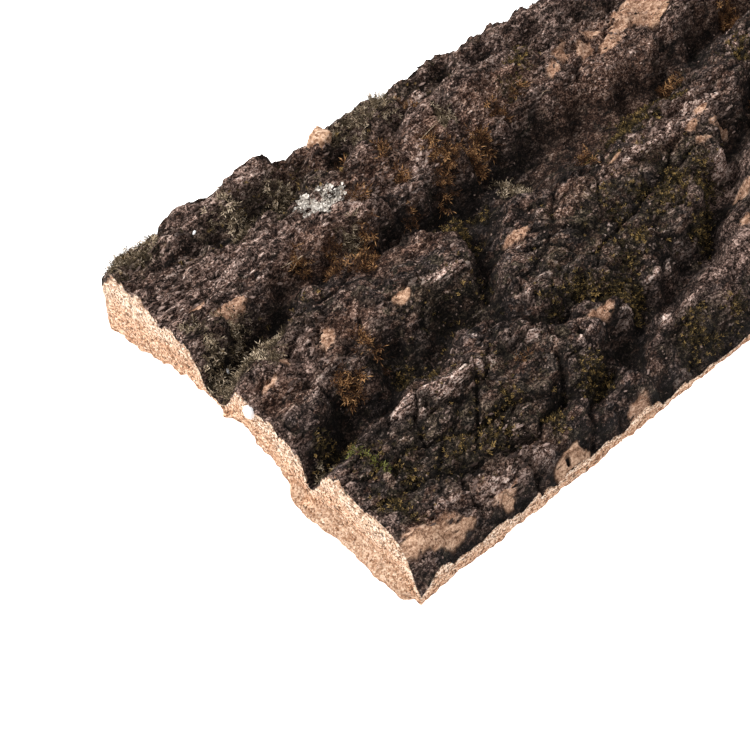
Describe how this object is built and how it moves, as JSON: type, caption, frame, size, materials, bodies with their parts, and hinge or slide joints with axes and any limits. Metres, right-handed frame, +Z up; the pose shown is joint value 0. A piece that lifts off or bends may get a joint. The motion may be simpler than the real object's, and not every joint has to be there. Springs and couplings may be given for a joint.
{
  "type": "cork bark slab",
  "caption": "Flat rectangular slab of natural cork oak bark with sawn sides, long deep-fissured ridges cracked into plates, tufts of moss and a lichen patch.",
  "frame": {"origin": "bottom centre of the slab's box, on the surface that it lies on", "axes": "+X with the grain along the slab, away from the sawn end with the lip, +Y across the grain to the back side, +Z up out of the bark face"},
  "size_m": [0.205, 0.1, 0.0223],
  "materials": {
    "bark": "dry, granular, very dark brown bark with grey-pink worn crests",
    "sawn_cork": "matte sawn cork, peachy tan with dark specks",
    "broken_cork": "matte tan flakes and splinters where the bark has chipped",
    "moss": "dry olive moss leaves",
    "rust_moss": "dry rust-brown moss leaves",
    "lichen": "chalky grey-white lichen lobes"
  },
  "bodies": {
    "root": {"cork_bark_slab": "bark"}
  },
  "joints": []
}
